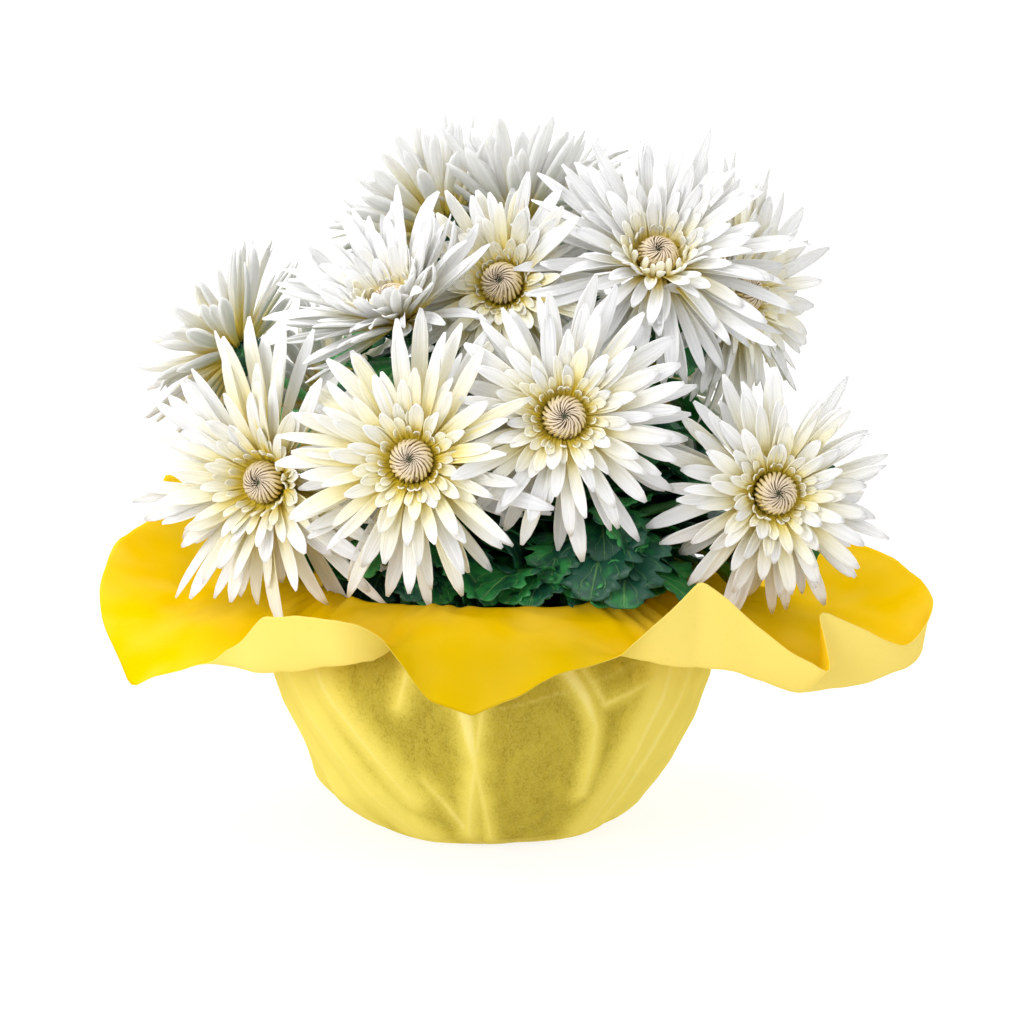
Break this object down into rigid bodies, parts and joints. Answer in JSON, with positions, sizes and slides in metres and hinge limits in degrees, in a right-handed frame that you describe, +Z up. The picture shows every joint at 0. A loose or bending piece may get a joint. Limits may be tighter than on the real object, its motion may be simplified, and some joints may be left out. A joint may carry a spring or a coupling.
{
  "type": "pot chrysanthemum",
  "caption": "White spider chrysanthemum blooms over dark lobed leaves, rooted in a plastic pot inside a gathered yellow sheet wrap with a wide waved collar.",
  "frame": {"origin": "centre of the wrap's flat foot, on the surface that it stands on", "axes": "+Z up, -Y towards the viewer of the picture, +X to the viewer's right"},
  "size_m": [0.3492, 0.2688, 0.2979],
  "materials": {
    "yellow_sheet": "thin translucent nonwoven sheet, saturated yellow inside and paler outside",
    "pot_plastic": "dark matte moulded plastic",
    "soil": "dark crumbly potting compost",
    "leaf_green": "dark green leaf, satin, with paler veins",
    "white_petal": "white petal, soft satin, cream towards its base",
    "young_floret": "tan young florets, matte, greenish in the middle"
  },
  "bodies": {
    "root": {"wrap": "yellow_sheet", "pot": "pot_plastic", "soil": "soil", "plant_left": "leaf_green", "plant_right": "leaf_green", "plant_far_right": "leaf_green", "plant_far_left": "leaf_green", "plant_middle": "leaf_green", "petals_front_left": "white_petal", "eye_front_left": "young_floret", "petals_front_middle": "white_petal", "eye_front_middle": "young_floret", "petals_front_right": "white_petal", "eye_front_right": "young_floret", "petals_low_left": "white_petal", "eye_low_left": "young_floret", "petals_back_right": "white_petal", "eye_back_right": "young_floret", "petals_back_left": "white_petal", "eye_back_left": "young_floret", "petals_back_middle": "white_petal", "eye_back_middle": "young_floret", "petals_upper_left": "white_petal", "eye_upper_left": "young_floret", "petals_upper_right": "white_petal", "eye_upper_right": "young_floret", "petals_upper_middle": "white_petal", "eye_upper_middle": "young_floret", "petals_far_right": "white_petal", "eye_far_right": "young_floret", "petals_side_left": "white_petal", "eye_side_left": "young_floret", "petals_top_left": "white_petal", "eye_top_left": "young_floret", "petals_top": "white_petal", "eye_top": "young_floret"}
  },
  "joints": []
}
